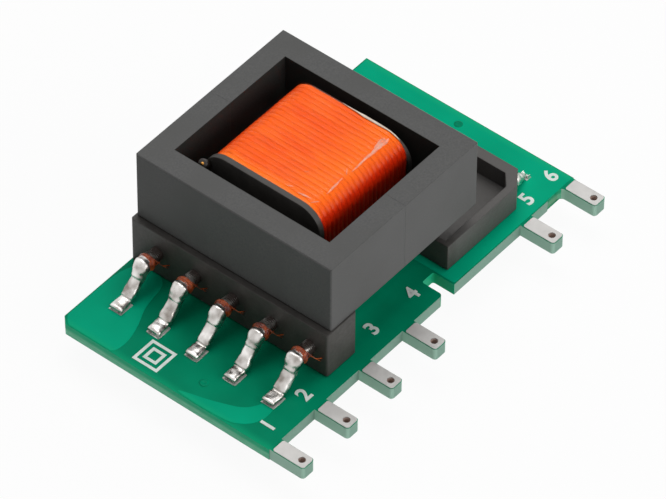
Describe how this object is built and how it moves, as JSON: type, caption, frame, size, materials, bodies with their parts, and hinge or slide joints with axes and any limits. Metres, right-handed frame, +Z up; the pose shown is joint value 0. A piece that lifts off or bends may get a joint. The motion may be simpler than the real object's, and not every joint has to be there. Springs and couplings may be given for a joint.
{
  "type": "open-frame power supply module",
  "caption": "Open-frame mains converter board with a flat ferrite transformer on top, edge contact fingers for soldering into a host board, and parts underneath.",
  "frame": {"origin": "middle of the outline in plan, at the level the module stands on (the undersides of its tallest packages)", "axes": "+X along the contact edge from the primary end to the secondary end, +Y away from the contact fingers, +Z up out of the transformer side"},
  "size_m": [0.0268, 0.0174, 0.011],
  "materials": {
    "board_green": "solder-masked glass-epoxy board",
    "tinned_copper": "tinned copper",
    "solder": "bright uneven solder",
    "ferrite": "ground dark grey ferrite",
    "bobbin_black": "black phenolic moulding",
    "enamelled_copper": "enamelled copper wire",
    "orange_wire": "orange enamelled wire",
    "yellow_tape": "polyester tape",
    "clear_film": "clear polyester film",
    "wire_end": "cut copper wire end",
    "pin_metal": "solder-dipped pin",
    "lead_metal": "tinned lead",
    "package_black": "black moulding compound",
    "capacitor_tan": "tan ceramic",
    "resistor_dark": "glazed resistor film"
  },
  "bodies": {
    "root": {"bobbin": "bobbin_black", "bridge_rectifier": "package_black", "bridge_rectifier_leads": "lead_metal", "chip_resistors": "resistor_dark", "chip_resistors_ends": "lead_metal", "circuit_board": "board_green", "clamp_diode": "package_black", "clamp_diode_leads": "lead_metal", "contact_pads": "tinned_copper", "controller_ic": "package_black", "controller_ic_leads": "lead_metal", "core_half_primary": "ferrite", "core_half_secondary": "ferrite", "insulation_tape_inner": "yellow_tape", "insulation_tape_outer": "yellow_tape", "isolation_capacitor": "capacitor_tan", "isolation_capacitor_ends": "lead_metal", "optocoupler": "package_black", "optocoupler_leads": "lead_metal", "output_capacitors": "capacitor_tan", "output_capacitors_ends": "lead_metal", "output_diode": "package_black", "output_diode_leads": "lead_metal", "primary_lands": "tinned_copper", "primary_leads": "enamelled_copper", "primary_pin_1": "pin_metal", "primary_pin_2": "pin_metal", "primary_pin_3": "pin_metal", "primary_pin_4": "pin_metal", "primary_pin_5": "pin_metal", "primary_solder": "solder", "primary_winding_inner": "enamelled_copper", "primary_winding_outer": "orange_wire", "primary_wire_wraps": "enamelled_copper", "secondary_lands": "tinned_copper", "secondary_leads": "orange_wire", "secondary_pin_1": "pin_metal", "secondary_pin_2": "pin_metal", "secondary_solder": "solder", "secondary_winding": "enamelled_copper", "secondary_wire_wraps": "orange_wire", "shunt_regulator": "package_black", "shunt_regulator_leads": "lead_metal", "supply_capacitors": "capacitor_tan", "supply_capacitors_ends": "lead_metal", "supply_diode": "package_black", "supply_diode_leads": "lead_metal", "underside_lands": "tinned_copper", "winding_film": "clear_film", "wire_stub": "wire_end"}
  },
  "joints": []
}
